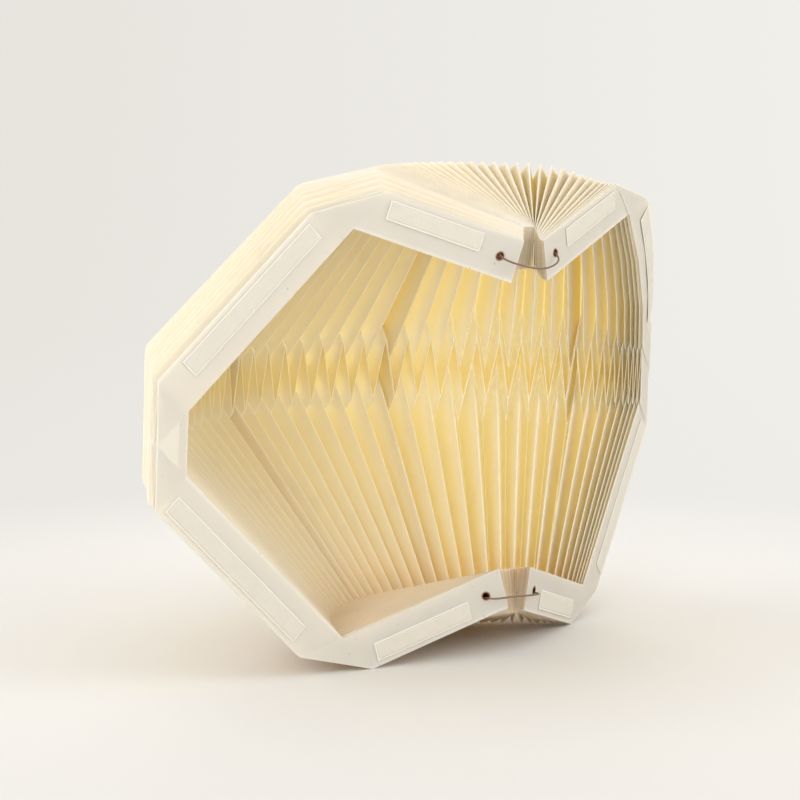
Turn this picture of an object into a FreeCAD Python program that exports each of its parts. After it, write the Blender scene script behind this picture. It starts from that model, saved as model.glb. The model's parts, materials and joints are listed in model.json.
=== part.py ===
import FreeCAD, Part
import math
import os

# Pleated paper hanging shade, folded by hand and fanned open, standing on its lower corners.
#
# Five glued sheets make one band of 86 long panels.  Every panel is crossed by five reverse
# folds, so a closed panel follows an open octagon around the axis of the shade.  The two end
# panels carry hook-and-loop tapes that close the ring, and a cord threaded through punched
# holes gathers the panels at the top and at the bottom.  Millimetres, +Z up.

Vector = FreeCAD.Vector

SIZES = [
    # the folded panel, laid flat in one plane through the axis
    ("panel_width", 35.0, "width of a panel between its long folds"),
    ("paper_thickness", 0.22, "paper of about 200 grams a square metre"),
    ("layer_pitch", 0.28, "one layer of paper with the air beside it"),
    ("closed_radius", 324.5, "axis to the equator folds of a closed panel"),
    ("upper_run", 173.5, "outer edge of the upper slope, fold to fold"),
    ("lower_run", 178.0, "outer edge of the lower slope, fold to fold"),
    ("slope_angle", 45.0, "upper and lower slopes from the horizontal"),
    ("top_angle", 17.4, "top strips from the horizontal"),
    ("foot_angle", 17.2, "bottom strips from the horizontal"),
    ("top_end_radius", 8.5, "axis to the nearest corner of a top end"),
    ("foot_end_radius", 7.4, "axis to the nearest corner of a bottom end"),
    ("hole_diameter", 5.5, "punched cord hole"),
    ("hole_inset", 17.7, "hole centre from the cut end"),
    ("flap_setback", 0.6, "glued flap short of the fold that it lies against"),
    ("glue_pitch", 0.42, "one glued layer of paper to the other"),
    # the band and how far it is fanned out
    ("sheet_count", 5, "glued sheets in the band"),
    ("sheet_panels", 18, "panels of a sheet, the glued ones counted"),
    ("front_azimuth", 211.6, "direction of the first panel"),
    ("fan_angle", 142.7, "first panel to last panel at the equator"),
    ("top_swing", 8.0, "how much further the top of the last panel swings"),
    ("open_waist", 0.053, "share by which a fully opened pleat draws in"),
    ("open_rise", 0.072, "share by which the top of an opened pleat rises"),
    ("stance_lean", 4.4, "lean of the shade as it stands on its lower corners"),
    ("stance_azimuth", 121.7, "side of the shade that the lean lifts"),
    # what is fixed to the paper
    ("tape_width", 16.0, "hook-and-loop tape"),
    ("tape_thickness", 0.9, "hook-and-loop tape with its adhesive"),
    ("tape_margin", 4.2, "tape from the outer long fold of its strip"),
    ("tape_start", 6.0, "tape from the cross fold that it starts at"),
    ("end_tape_length", 90.0, "tapes on the top and bottom strips"),
    ("upper_tape_length", 145.0, "tapes on the upper slope"),
    ("lower_tape_length", 158.0, "tapes on the lower slope"),
    ("tape_seat", 0.08, "glue line under a tape"),
    ("cord_diameter", 1.5, "waxed cord"),
]

doc = FreeCAD.newDocument("pleated_shade")
sizes = doc.addObject("Spreadsheet::Sheet", "Sizes")
for row, (alias, value, note) in enumerate(SIZES, 1):
    sizes.set("A%d" % row, alias)
    sizes.set("B%d" % row, str(value))
    sizes.setAlias("B%d" % row, alias)
    sizes.set("C%d" % row, note)
doc.recompute()


def size(alias):
    return float(getattr(sizes, alias))


WIDTH = size("panel_width")
PAPER = size("paper_thickness")
LAYER = size("layer_pitch")
SHEETS = int(size("sheet_count"))
SHEET_PANELS = int(size("sheet_panels"))
STEP = SHEET_PANELS - 1                       # panels from one glued panel to the next
GLUED = size("glue_pitch") / LAYER            # a glued layer over the other, in layers
PANELS = SHEETS * STEP + 1
HUB = min(size("top_end_radius"), size("foot_end_radius"))


# ---- plane vectors: (radius, height) or (x, y) ----

def polar(degrees):
    return (math.cos(math.radians(degrees)), math.sin(math.radians(degrees)))


def add(p, q, k=1.0):
    return (p[0] + k * q[0], p[1] + k * q[1])


def minus(p, q):
    return (p[0] - q[0], p[1] - q[1])


def dot(p, q):
    return p[0] * q[0] + p[1] * q[1]


def unit(p):
    n = math.hypot(p[0], p[1])
    return (p[0] / n, p[1] / n)


def meet(point, first, first_off, second, second_off):
    """The point whose distances from two lines through point, given by normals, are these."""
    det = first[0] * second[1] - first[1] * second[0]
    x = (first_off * second[1] - second_off * first[1]) / det
    y = (first[0] * second_off - second[0] * first_off) / det
    return add(point, (x, y))


# ---- the closed panel in its own plane ----

def closed_panel():
    """Corners of a closed panel on its two kinds of long fold, a and b, top end first.

    A cross fold at half the turn between two strips of the same width is as long as that
    width divided by the sine of the half turn.  Three upright cross folds zigzag at the equator.
    """
    radius, slope = size("closed_radius"), size("slope_angle")
    upright = WIDTH / math.cos(math.radians(slope))
    back = WIDTH * math.cos(math.radians(slope))
    a, b = [None] * 7, [None] * 7
    b[2], a[2] = (radius, upright), (radius, 0.0)
    b[3], a[3] = (radius - back, upright - back), (radius - back, -back)
    b[4], a[4] = (radius, 0.0), (radius, -upright)

    top, foot = size("top_angle"), size("foot_angle")
    corner = WIDTH / math.sin(math.radians(0.5 * (slope + top)))
    b[1] = add(b[2], polar(180 - slope), size("upper_run"))
    a[1] = add(b[1], polar(180 - 0.5 * (slope - top)), corner)
    inward = polar(180 + top)
    a[0] = add(a[1], inward, (a[1][0] - size("top_end_radius")) / -inward[0])
    b[0] = add(a[0], polar(top - 90), WIDTH)

    corner = WIDTH / math.sin(math.radians(0.5 * (slope + foot)))
    a[5] = add(a[4], polar(180 + slope), size("lower_run"))
    b[5] = add(a[5], polar(180 + 0.5 * (slope - foot)), corner)
    inward = polar(180 - foot)
    b[6] = add(b[5], inward, (b[5][0] - size("foot_end_radius")) / -inward[0])
    a[6] = add(b[6], polar(90 - foot), WIDTH)
    return {"a": a, "b": b}


PANEL = closed_panel()


def kind(line):
    return "a" if line % 2 == 0 else "b"


def along(line, strip):
    """Direction of a strip in the panel's plane, from the top end down."""
    points = PANEL[kind(line)]
    return unit(minus(points[strip + 1], points[strip]))


def away(direction, other):
    """Unit normal of a direction, pointing away from the other point."""
    normal = (-direction[1], direction[0])
    return normal if dot(other, normal) < 0 else (-normal[0], -normal[1])


def ridge_normal(line, strip):
    """Across the long fold of a line, away from the paper of the strip."""
    here = PANEL[kind(line)][strip]
    there = PANEL[kind(line + 1)][strip]
    return away(along(line, strip), minus(there, here))


def cross_normal(fold):
    """Across a cross fold, away from both strips that meet there."""
    a, b = PANEL["a"], PANEL["b"]
    return away(unit(minus(b[fold], a[fold])), minus(a[fold - 1], a[fold]))


# ---- the fan: where each long fold stands around the axis ----

def smooth(x):
    x = min(max(x, 0.0), 1.0)
    return x * x * (3 - 2 * x)


def opening(panel):
    """Relative angle of one panel: flat at the front, widest past the middle, shut at the back."""
    if panel == 0:
        return 0.12
    left = 1.82 + 0.42 * smooth((panel - 31) / 12.0)
    return left + (0.33 - left) * smooth((panel - 56) / 27.0)


def fan():
    weights = [opening(panel) for panel in range(PANELS)]
    turned = [size("front_azimuth")]
    for weight in weights:
        turned.append(turned[-1] - size("fan_angle") * weight / sum(weights))
    return turned


AZIMUTH = fan()


def azimuth(line, share):
    """The last pleats swing further round at the top than at the equator."""
    swing = size("top_swing") * smooth((line - 0.69 * PANELS) / (0.31 * PANELS))
    return AZIMUTH[line] - share * swing


def opened(line):
    """0 for a closed pleat and 1 for a fully opened one."""
    return smooth(line / 10.0) * (1 - smooth((line - 0.72 * PANELS) / (0.21 * PANELS)))


def glued(panel):
    """Layers that a second sheet adds to a panel."""
    return GLUED if panel % STEP == 0 and 0 < panel < PANELS - 1 else 0.0


def hubs():
    """The ends are stacked layer on layer, so each long fold turns about its own point."""
    points = [(0.0, 0.0)]
    for panel in range(PANELS):
        middle = 0.5 * (AZIMUTH[panel] + AZIMUTH[panel + 1])
        step = math.radians(AZIMUTH[panel] - AZIMUTH[panel + 1])
        slide = LAYER * (1 + glued(panel)) - HUB * step
        points.append(add(points[-1], polar(middle - 90), slide))
    return points


HUBS = hubs()


def floor_height(x, y):
    """The plane of the lower corners: the first pleat is closed, the lifted side reaches down."""
    corner = add(HUBS[0], polar(AZIMUTH[0]), PANEL["b"][5][0])
    uphill = dot(minus((x, y), corner), polar(size("stance_azimuth")))
    return PANEL["b"][5][1] - math.tan(math.radians(size("stance_lean"))) * uphill


def place(line, flat, across, share):
    """Carry a point of the closed panel's plane to a long fold; across is along the fan."""
    turn = azimuth(line, share)
    waist = 1 - size("open_waist") * opened(line)
    foot = add(HUBS[line], polar(turn), PANEL["b"][5][0] * waist)
    if flat[1] > 0:
        rise = 1 + size("open_rise") * opened(line)
    else:
        rise = floor_height(*foot) / PANEL["b"][5][1]
    point = add(add(HUBS[line], polar(turn), flat[0] * waist), polar(turn - 90), across)
    return Vector(point[0], point[1], flat[1] * rise)


# ---- paper with its thickness ----
# The strips before and after a cross fold lie a layer apart.  A row of corners is
#   strip, cross fold, share, lift
# and lift says which of the two strips is further along the fan on a panel that starts on an
# a line.  Between its folds the upper slope has rows at shares of its length, which take up
# the swing of the top, clear of where the neighbouring strips lie against it.

ROWS = [
    (0, 0, None, 0), (0, 1, None, 1),
    (1, 1, None, -1), (1, 1, 0.0, -1), (1, 1, 0.33, -1), (1, 1, 0.67, -1), (1, 1, 1.0, -1),
    (1, 2, None, -1),
    (2, 2, None, 1), (2, 3, None, -1),
    (3, 3, None, 1), (3, 4, None, -1),
    (4, 4, None, 1), (4, 5, None, 1),
    (5, 5, None, -1), (5, 6, None, 0),
]
TURN_REACH = 1.0 / math.sin(math.radians(size("slope_angle") + size("top_angle"))) + 0.07
CLEAR = {"a": (TURN_REACH, 1.15), "b": (0.09, 0.15)}    # of fold 1 and fold 2, in widths


def way(panel):
    return 1 if panel % 2 == 0 else -1


def room(panel, row, at_start):
    """Half the gap that a panel leaves at its long fold, in layers."""
    fold, lift = ROWS[row][1], ROWS[row][3]
    if lift:
        return 1.0 + glued(panel)
    outer_at_start = (fold == 0) == (panel % 2 == 0)
    return 0.5 if at_start == outer_at_start else 0.5 + glued(panel)


def wraps(fold, over):
    """The glued-on layer wraps round the other at every cross fold but the middle one."""
    return over == (fold != 3)


def shift(panel, row, over):
    """How far a strip lies from the middle of its panel's place, in layers along the fan."""
    fold, lift = ROWS[row][1], ROWS[row][3]
    if lift:
        return way(panel) * lift * (0.5 + (glued(panel) if wraps(fold, over) else 0.0))
    return way(panel) * (1 if fold == 0 else -1) * (glued(panel) if over else 0.0)


def row_point(line, row):
    """Where a row crosses a long fold, in the closed panel's plane."""
    strip, fold, share, lift = ROWS[row]
    points = PANEL[kind(line)]
    if share is None:
        return points[fold]
    after, before = CLEAR[kind(line)]
    first = add(points[1], along(line, strip), after * WIDTH)
    last = add(points[2], along(line, strip), -before * WIDTH)
    return add(first, minus(last, first), share)


def swung(row):
    """Share of the swing of the top that a row takes."""
    strip, fold, share, lift = ROWS[row]
    return (1.0 if fold < 2 else 0.0) if share is None else 1.0 - share


def face_corner(panel, line, row, high, over):
    """Where one face of a panel meets a long fold; high is the face further along the fan."""
    strip, fold, share, lift = ROWS[row]
    at_start = line == panel
    flat = row_point(line, row)
    if lift and share is None:
        cross_off = 0.5 * PAPER * (1 if high == (way(panel) * lift > 0) else -1)
        cross_off -= 0.0 if wraps(fold, over) else LAYER * glued(panel)
        flat = meet(flat, ridge_normal(line, strip), 0.0, cross_normal(fold), cross_off)
    across = room(panel, row, at_start) * (1 if at_start else -1) + shift(panel, row, over)
    across = across * LAYER + 0.5 * PAPER * (1 if high else -1)
    return place(line, flat, across, swung(row))


def paper_point(panel, line, row, high, over=False, setback=None):
    """A corner of a face: half a thickness outside or inside the long fold, or a cut edge."""
    fold_off = 0.5 * PAPER * (1 if high == (line == panel) else -1)
    if setback is not None:
        fold_off = -setback
    here = face_corner(panel, line, row, high, over)
    there = face_corner(panel, 2 * panel + 1 - line, row, high, over)
    return here + (here - there) * (fold_off / WIDTH)


def panels_of(number):
    """(panel, over) of one sheet; its first panel is glued over the last of the sheet before."""
    first = number * STEP
    return [(panel, number > 0 and panel == first) for panel in range(first, first + STEP + 1)]


def sheet_grids(number):
    """Two grids of points, one on each side of the paper, with the same rows and columns."""
    panels = panels_of(number)
    grids = []
    for side in (0, 1):
        grid = []
        for row, (strip, *rest) in enumerate(ROWS):
            points = []
            for panel, over in panels:
                high = (panel + strip + side) % 2 == 0
                first, last = panel == panels[0][0], panel == panels[-1][0]
                flap = {0: 0.0, PANELS: 0.0}
                start = flap.get(panel, size("flap_setback")) if first else None
                stop = flap.get(panel + 1, size("flap_setback")) if last else None
                points.append(paper_point(panel, panel, row, high, over, start))
                points.append(paper_point(panel, panel + 1, row, high, over, stop))
            grid.append(points)
        grids.append(grid)
    return grids


def skin(p, q, r, s):
    """Two triangles between four corners, or one where two corners meet."""
    faces = []
    for x, y, z in ((p, q, r), (p, r, s)):
        if (y - x).cross(z - x).Length > 1e-9:
            faces.append(Part.Face(Part.makePolygon([x, y, z, x])))
    return faces


def closed_skin(lower, upper):
    """The solid between two grids of points, with its four edge walls."""
    rows, columns = len(lower), len(lower[0])
    faces = []
    for g in (lower, upper):
        for i in range(rows - 1):
            for j in range(columns - 1):
                faces += skin(g[i][j], g[i][j + 1], g[i + 1][j + 1], g[i + 1][j])
    for i in (0, rows - 1):
        for j in range(columns - 1):
            faces += skin(lower[i][j], lower[i][j + 1], upper[i][j + 1], upper[i][j])
    for j in (0, columns - 1):
        for i in range(rows - 1):
            faces += skin(lower[i][j], lower[i + 1][j], upper[i + 1][j], upper[i][j])
    shell = Part.makeCompound(faces)
    shell.sewShape(1e-5)
    solid = Part.Solid(shell.Shells[0])
    if solid.Volume < 0:
        solid.reverse()
    return solid


def hole_centre(strip):
    """Hole in the middle of an end strip, in the closed panel's plane."""
    end, near = (0, 1) if strip == 0 else (6, 5)
    a, b = PANEL["a"], PANEL["b"]
    middle = add(a[end], minus(b[end], a[end]), 0.5)
    return add(middle, unit(minus(a[near], a[end])), size("hole_inset"))


def on_face(panel, strip, flat, high, over=False):
    """A point of the closed panel's plane carried to the face of a strip, and its normal."""
    rows = [i for i, row in enumerate(ROWS) if row[0] == strip]
    for upper, lower in zip(rows, rows[1:]):
        corners = [(panel, upper), (panel + 1, upper), (panel + 1, lower), (panel, lower)]
        flats = [row_point(line, row) for line, row in corners]
        solids = [paper_point(panel, line, row, high, over) for line, row in corners]
        for i, j, k in ((0, 1, 2), (0, 2, 3)):
            u, v, w = (minus(flats[j], flats[i]), minus(flats[k], flats[i]), minus(flat, flats[i]))
            det = u[0] * v[1] - u[1] * v[0]
            s = (w[0] * v[1] - w[1] * v[0]) / det
            t = (u[0] * w[1] - u[1] * w[0]) / det
            if s > -1e-6 and t > -1e-6 and s + t < 1 + 1e-6:
                first, second = solids[j] - solids[i], solids[k] - solids[i]
                normal = first.cross(second)
                normal.normalize()
                return solids[i] + first * s + second * t, normal
    raise ValueError("the point is off strip %d" % strip)


def punched(solid, number):
    """Cut the cord holes of every panel of a sheet, short of the panels on both sides."""
    tools = []
    for panel, over in panels_of(number):
        turn = math.radians(AZIMUTH[panel] - AZIMUTH[panel + 1])
        for strip in (0, 5):
            flat = hole_centre(strip)
            low, normal = on_face(panel, strip, flat, False, over)
            high, normal = on_face(panel, strip, flat, True, over)
            pitch = LAYER + (flat[0] - HUB) * turn
            reach = 0.5 * PAPER + 0.45 * (pitch - PAPER)
            tool = Part.makeCylinder(0.5 * size("hole_diameter"), 2 * reach, Vector(0, 0, -reach))
            heading = along(panel, strip)
            heading = place(panel, add(flat, heading), 0, 1) - place(panel, flat, 0, 1)
            tool.Placement = FreeCAD.Placement((low + high) * 0.5, FreeCAD.Rotation(
                normal.cross(heading), heading, normal, "ZXY"))
            tools.append(tool)
    return solid.cut(Part.makeCompound(tools))


# ---- tapes on the outer faces of the two end panels ----

def tape(panel, strip, fold, towards, outer, length):
    """A strip of tape along the outer long fold, from a cross fold towards another."""
    outside = -1 if panel == 0 else 1
    inside = "b" if outer == "a" else "a"
    start = PANEL[outer][fold]
    run = unit(minus(PANEL[outer][towards], start))
    side = away(run, minus(start, PANEL[inside][towards]))
    stations = int(math.ceil(length / 6.0))
    low, high = [], []
    for i in range(stations + 1):
        under, over = [], []
        for j in range(5):
            flat = add(start, run, size("tape_start") + length * i / stations)
            flat = add(flat, side, size("tape_margin") + size("tape_width") * j / 4)
            point, normal = on_face(panel, strip, flat, outside > 0)
            heading = polar(azimuth(panel, 1.0 if strip < 2 else 0.0) - 90)
            lift = 1 if normal.dot(Vector(heading[0], heading[1], 0)) * outside > 0 else -1
            under.append(point + normal * (lift * size("tape_seat")))
            over.append(point + normal * (lift * (size("tape_seat") + size("tape_thickness"))))
        low.append(under)
        high.append(over)
    return closed_skin(low, high)


TAPES = [
    # name, strip, cross fold it starts at, next cross fold, outer line, length
    ("top", 0, 1, 0, "a", "end_tape_length"),
    ("upper", 1, 1, 2, "b", "upper_tape_length"),
    ("lower", 4, 4, 5, "a", "lower_tape_length"),
    ("foot", 5, 5, 6, "b", "end_tape_length"),
]


# ---- cords: hand-laid routes through the rings of holes ----

def cord(points):
    """A round tube along straight runs joined by tangent arcs."""
    points = [Vector(*p) for p in points]
    diameter = size("cord_diameter")
    edges, radii, start = [], [], points[0]
    for before, here, after in zip(points, points[1:], points[2:]):
        back, on = before - here, after - here
        setback = 0.45 * min(back.Length, on.Length)
        back.normalize()
        on.normalize()
        half_turn = 0.5 * (math.pi - back.getAngle(on))
        radius = setback / math.tan(half_turn)
        bisector = back + on
        bisector.normalize()
        entry, leave = here + back * setback, here + on * setback
        crown = here + bisector * (math.hypot(radius, setback) - radius)
        edges.append(Part.LineSegment(start, entry).toShape())
        edges.append(Part.Arc(entry, crown, leave).toShape())
        radii.append(radius)
        start = leave
    edges.append(Part.LineSegment(start, points[-1]).toShape())
    route = Part.Wire(edges)
    circle = Part.Wire(Part.Circle(points[0], points[1] - points[0], 0.5 * diameter).toShape())
    tube = route.makePipeShell([circle], True, False)
    section = math.pi * diameter * diameter / 4
    print("cord radii %s, volume over section times length %.4f" %
          (" ".join("%.1f" % r for r in radii), tube.Volume / (section * route.Length)))
    return tube


TOP_CORD = [
    (-20.6, 23.4, 146.8), (-25.6, 16.5, 146.8), (-28.6, 9.0, 146.9), (-29.6, 1.4, 146.8),
    (-28.8, -5.8, 146.4), (-27.9, -10.6, 142.9), (-26.4, -16.0, 137.2),
    (-19.5, -20.5, 133.6), (-9.5, -14.8, 130.2), (0.5, -7.8, 127.6), (9.0, 1.0, 126.3),
    (17.0, 10.0, 127.6), (22.8, 19.5, 131.8),
    (19.2, 28.8, 137.0), (13.0, 31.0, 139.2), (4.4, 32.1, 145.2), (-5.5, 31.4, 146.9),
    (-15.3, 27.6, 146.8),
]
FOOT_CORD = [
    (-20.6, 21.8, -149.8), (-25.2, 15.1, -149.0), (-27.8, 7.9, -147.9), (-28.5, 0.4, -146.4),
    (-27.5, -7.4, -144.8), (-25.4, -15.4, -142.8),
    (-18.0, -19.5, -142.6), (-7.0, -12.0, -142.3), (2.5, -2.5, -143.2), (11.5, 8.5, -144.8),
    (20.5, 19.5, -146.2),
    (14.9, 29.5, -147.3), (7.2, 31.0, -148.2), (-2.2, 30.9, -149.3), (-10.6, 28.7, -150.0),
    (-17.3, 24.8, -150.0),
]


# ---- objects ----

def standing():
    """Turn the plane of the lower corners level and put the shade on the origin."""
    lean = math.tan(math.radians(size("stance_lean")))
    slope = polar(size("stance_azimuth"))
    normal = Vector(lean * slope[0], lean * slope[1], 1.0)
    turn = FreeCAD.Rotation(normal, Vector(0, 0, 1))
    low = Vector(1e9, 1e9, 1e9)
    top = Vector(-1e9, -1e9, -1e9)
    for number in range(SHEETS):
        for grid in sheet_grids(number):
            for row in grid:
                for point in row:
                    p = turn.multVec(point)
                    low = Vector(min(low.x, p.x), min(low.y, p.y), min(low.z, p.z))
                    top = Vector(max(top.x, p.x), max(top.y, p.y), max(top.z, p.z))
    shift_by = Vector(-0.5 * (low.x + top.x), -0.5 * (low.y + top.y), -low.z)
    return FreeCAD.Placement(shift_by, turn)


STANDING = standing()


def make(label, shape):
    part = doc.addObject("Part::Feature", label)
    part.Label = label
    part.Shape = shape
    part.Placement = STANDING
    return part


parts = []
for number in range(SHEETS):
    parts.append(make("paper_sheet_%d" % (number + 1), punched(
        closed_skin(*sheet_grids(number)), number)))
for side, panel in (("front", 0), ("back", PANELS - 1)):
    for name, strip, fold, towards, outer, length in TAPES:
        parts.append(make("%s_%s_tape" % (side, name),
                          tape(panel, strip, fold, towards, outer, size(length))))
parts.append(make("top_cord", cord(TOP_CORD)))
parts.append(make("foot_cord", cord(FOOT_CORD)))

doc.recompute()
os.makedirs("parts", exist_ok=True)
for part in parts:
    state = [s for s in part.State if s in ("Invalid", "Error")]
    if state or part.Shape.isNull() or not part.Shape.isValid():
        raise RuntimeError("%s did not build" % part.Label)
    if len(part.Shape.Solids) != 1:
        raise RuntimeError("%s is %d solids" % (part.Label, len(part.Shape.Solids)))
    part.Shape.exportStep("parts/%s.step" % part.Label)
    box = part.Shape.BoundBox
    print("%-16s volume %9.1f  x %7.1f %7.1f  y %7.1f %7.1f  z %7.1f %7.1f" % (
        part.Label, part.Shape.Volume, box.XMin, box.XMax, box.YMin, box.YMax, box.ZMin, box.ZMax))
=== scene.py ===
# %% [markdown]
# # A pleated paper shade, fanned open
# This lesson builds the looks of a hanging shade folded from paper. The real one is a band of
# 86 narrow panels crossed by reverse folds, with stick-on tapes on its two end panels and a
# waxed cord through the holes at the top and the bottom. A imported model of it is loaded first.
# The looks could be built without it, but loading it gives each new piece a real one to stand
# for.

# %% Load the imported model
import json
import math
import bpy
import numpy as np
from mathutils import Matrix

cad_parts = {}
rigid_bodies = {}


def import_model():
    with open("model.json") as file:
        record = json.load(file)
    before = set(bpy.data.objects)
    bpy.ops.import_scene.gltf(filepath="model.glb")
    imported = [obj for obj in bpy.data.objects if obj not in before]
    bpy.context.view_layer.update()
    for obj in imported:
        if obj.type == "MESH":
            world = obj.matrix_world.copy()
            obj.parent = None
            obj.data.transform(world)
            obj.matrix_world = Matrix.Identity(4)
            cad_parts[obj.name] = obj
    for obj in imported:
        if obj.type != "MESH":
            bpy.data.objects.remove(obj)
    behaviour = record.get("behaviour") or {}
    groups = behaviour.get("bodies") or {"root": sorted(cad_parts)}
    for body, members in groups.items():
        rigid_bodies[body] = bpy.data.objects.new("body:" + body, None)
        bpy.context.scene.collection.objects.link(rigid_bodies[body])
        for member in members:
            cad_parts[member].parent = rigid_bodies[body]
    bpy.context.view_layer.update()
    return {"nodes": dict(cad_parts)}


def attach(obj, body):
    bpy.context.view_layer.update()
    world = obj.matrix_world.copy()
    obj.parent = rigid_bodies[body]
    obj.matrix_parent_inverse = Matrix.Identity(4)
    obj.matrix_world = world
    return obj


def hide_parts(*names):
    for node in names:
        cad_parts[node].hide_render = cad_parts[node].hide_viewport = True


for leftover in list(bpy.data.objects):
    bpy.data.objects.remove(leftover)
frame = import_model()
scene = bpy.context.scene
print("packed nodes:", len(frame["nodes"]))

# %% [markdown]
# ## The camera
# A long lens two metres away keeps the octagon of the front panel nearly free of perspective.
# The camera could be aimed with a constraint, but three plain numbers for its turn are easier
# to read and give the same picture each time.

# %% Camera
PITCH, YAW, LENS = 84.396, 2.078, 109.3
camera = bpy.data.objects.new("camera", bpy.data.cameras.new("camera"))
scene.collection.objects.link(camera)
camera.location = (0.06375, -2.03199, 0.40255)
camera.rotation_euler = (math.radians(PITCH), 0.0, math.radians(YAW))
camera.data.lens = LENS
scene.camera = camera
print("camera looks from", [round(x, 3) for x in camera.location])

# %% [markdown]
# ## The two cords
# Each cord is limp waxed string, 1.5 mm thick. It runs through the stack of holes and crosses
# the open gap between the two end panels in a slack bow. A chain of cylinders would kink at
# each joint, so the cord is one smooth spline whose control points are the laid route. The
# route is written about the shade's own upright axis, in millimetres.

# %% Routes of the cords
CORD = 0.0015  # diameter, m
TOP_ROUTE = [
    (-20.6, 23.4, 146.8), (-25.6, 16.5, 146.8), (-28.6, 9.0, 146.9), (-29.6, 1.4, 146.8),
    (-28.8, -5.8, 146.4), (-27.9, -10.6, 142.9), (-26.4, -16.0, 137.2),
    (-19.5, -20.5, 133.6), (-9.5, -14.8, 130.2), (0.5, -7.8, 127.6), (9.0, 1.0, 126.3),
    (17.0, 10.0, 127.6), (22.8, 19.5, 131.8),
    (19.2, 28.8, 137.0), (13.0, 31.0, 139.2), (4.4, 32.1, 145.2), (-5.5, 31.4, 146.9),
    (-15.3, 27.6, 146.8)]
FOOT_ROUTE = [
    (-20.6, 21.8, -149.8), (-25.2, 15.1, -149.0), (-27.8, 7.9, -147.9), (-28.5, 0.4, -146.4),
    (-27.5, -7.4, -144.8), (-25.4, -15.4, -142.8),
    (-18.0, -19.5, -142.6), (-7.0, -12.0, -142.3), (2.5, -2.5, -143.2), (11.5, 8.5, -144.8),
    (20.5, 19.5, -146.2),
    (14.9, 29.5, -147.3), (7.2, 31.0, -148.2), (-2.2, 30.9, -149.3), (-10.6, 28.7, -150.0),
    (-17.3, 24.8, -150.0)]
print("control points:", len(TOP_ROUTE), "and", len(FOOT_ROUTE))

# %% [markdown]
# ## Standing the shade on the floor
# The fanned shade rests on its lower corners, so its axis leans a little. The lean could be
# given to each object as a rotation, but a finished piece has its place in its mesh, so one
# turn is worked out here and every point goes through it.

# %% From the shade's own axis to the floor
LEAN, LEAN_SIDE = math.radians(4.4), math.radians(121.7)  # of the axis, and towards where


def upright_turn():
    """Rotation that turns the leaning floor normal up to +Z: the identity plus the cross matrix
    of (normal x Z), plus its square over one plus the cosine of the angle between the two."""
    lean = math.tan(LEAN)
    normal = np.array([lean * math.cos(LEAN_SIDE), lean * math.sin(LEAN_SIDE), 1])
    normal /= np.linalg.norm(normal)
    x, y, z = np.cross(normal, (0, 0, 1))
    cross = np.array([[0, -z, y], [z, 0, -x], [-y, x, 0]])
    return np.eye(3) + cross + cross @ cross / (1 + normal[2])


TURN = upright_turn()
AXIS_FOOT = np.array([93.735, -70.788, 191.227])  # where the shade's axis origin stands, mm


def stand(points):
    """Shade frame in millimetres to the standing frame in metres: turn, shift, divide."""
    return (np.asarray(points, float) @ TURN.T + AXIS_FOOT) / 1000


print("axis leans %.1f degrees" % math.degrees(LEAN))

# %% [markdown]
# ## A string from a route
# A curve object with a round bevel is a string already, and stays easy to measure, so it isn't
# turned into a mesh. Its ends are capped, and lie out of sight among the pleats.

# %% Two strings

def string(name, route, node):
    """Round string along a smooth spline whose control points are the route's points."""
    curve = bpy.data.curves.new(name, "CURVE")
    curve.dimensions = "3D"
    curve.bevel_depth = 1.0  # the points carry the radius, and keep the box tight
    curve.bevel_resolution = 5
    curve.resolution_u = 10
    curve.use_fill_caps = True
    line = curve.splines.new("NURBS")
    points = stand(route)
    line.points.add(len(points) - 1)
    line.points.foreach_set("co", np.hstack([points, np.ones((len(points), 1))]).ravel())
    line.order_u = 3
    line.use_endpoint_u = True
    line.points.foreach_set("radius", np.full(len(points), CORD / 2))
    piece = bpy.data.objects.new(name, curve)
    scene.collection.objects.link(piece)
    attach(piece, "root")
    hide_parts(node)
    return piece


top_string = string("top_string", TOP_ROUTE, "top_cord")
foot_string = string("foot_string", FOOT_ROUTE, "foot_cord")
print("cords:", top_string.name, "and", foot_string.name)

# %% [markdown]
# ## The closed panel
# Before it is fanned out the shade is a flat stack of identical panels, each an open octagon
# 35 mm wide. A panel has two long folds, a and b, and five cross folds. Its corners follow
# from the widths and angles, so they are worked out rather than drawn.

# %% Corners of the closed panel
WIDTH = 35.0  # of a panel between its long folds, mm
PAPER, LAYER = 0.22, 0.28  # thickness of the card, and its share of a stack
SHEETS, STEP = 5, 17  # glued sheets, and panels from one seam to the next
PANELS = SHEETS * STEP + 1
SLOPE, TOP_ANGLE, FOOT_ANGLE = 45.0, 17.4, 17.2  # of the strips, degrees from level
RADIUS = 324.5  # of the outermost long folds on a closed shade
UPPER_RUN, LOWER_RUN = 173.5, 178.0  # long folds of the two slopes
TOP_END, FOOT_END = 8.5, 7.4  # gap between the stacked ends and the axis


def heading(degrees):
    """Unit vector at an angle: cosine and sine."""
    return np.array([math.cos(math.radians(degrees)), math.sin(math.radians(degrees))])


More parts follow.
